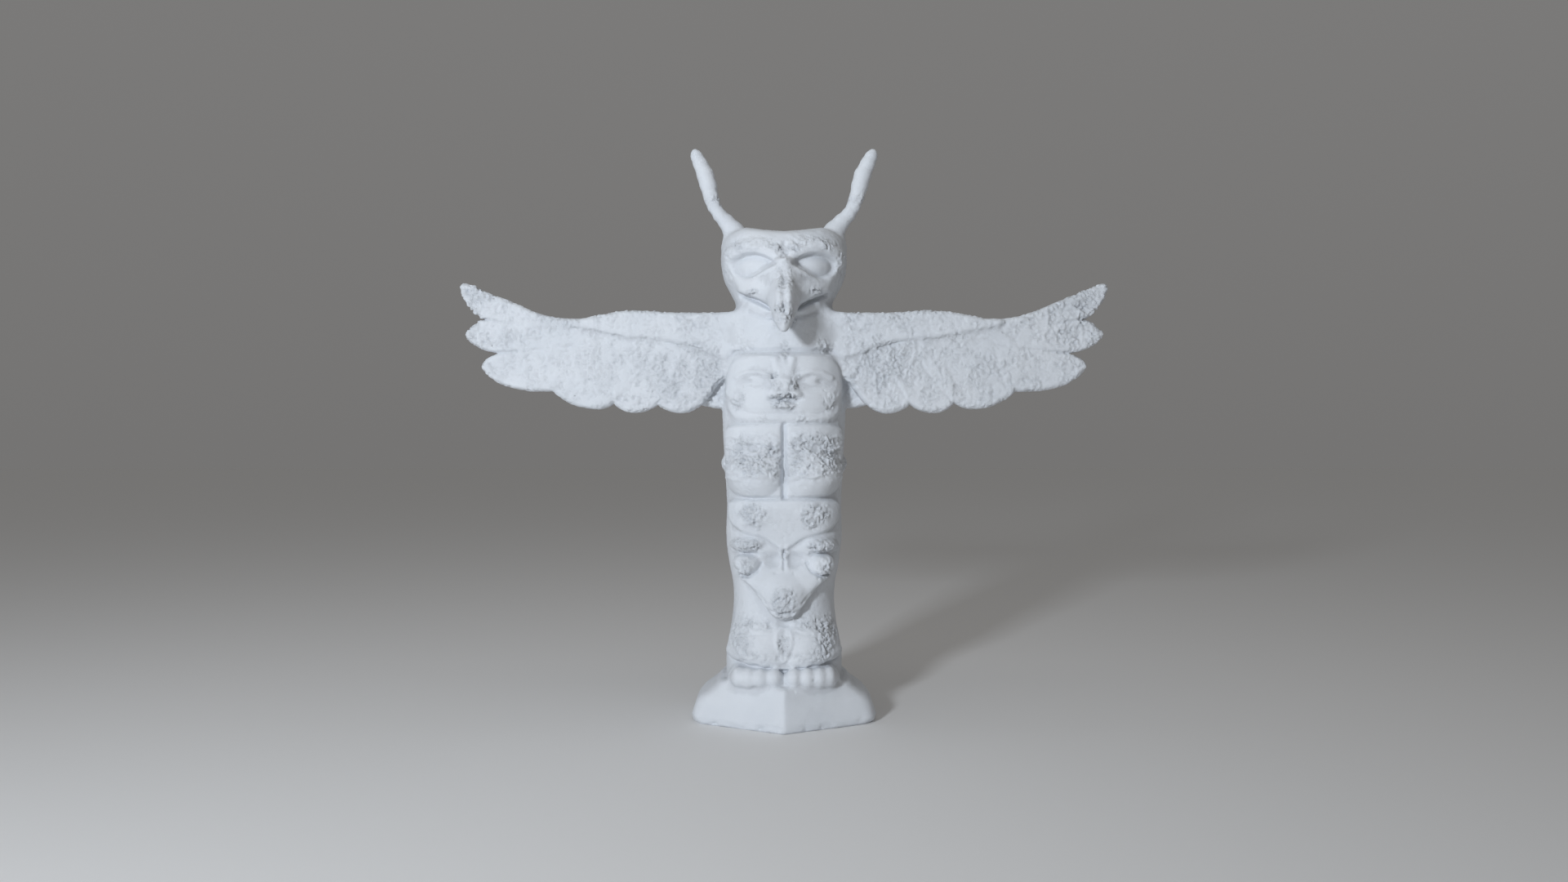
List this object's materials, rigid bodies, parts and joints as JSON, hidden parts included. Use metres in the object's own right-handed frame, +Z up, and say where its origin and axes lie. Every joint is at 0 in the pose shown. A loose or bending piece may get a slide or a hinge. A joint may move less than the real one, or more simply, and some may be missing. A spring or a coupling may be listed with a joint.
{
  "type": "winged totem pole",
  "caption": "Free-standing totem pole cast in one piece: stacked animal and human-like faces on a rough block, topped by a horned bird of prey with a hooked beak and outspread wings.",
  "frame": {"origin": "on the pole's own axis, at the level of the block's flat underside", "axes": "+Z up the pole, the faces look towards -Y, the wings spread along X"},
  "size_m": [2.05, 0.5802, 1.801],
  "materials": {
    "cast_white": "matt, off-white, lightly grained, rough-cast in patches"
  },
  "bodies": {
    "root": {"totem_pole": "cast_white"}
  },
  "joints": []
}
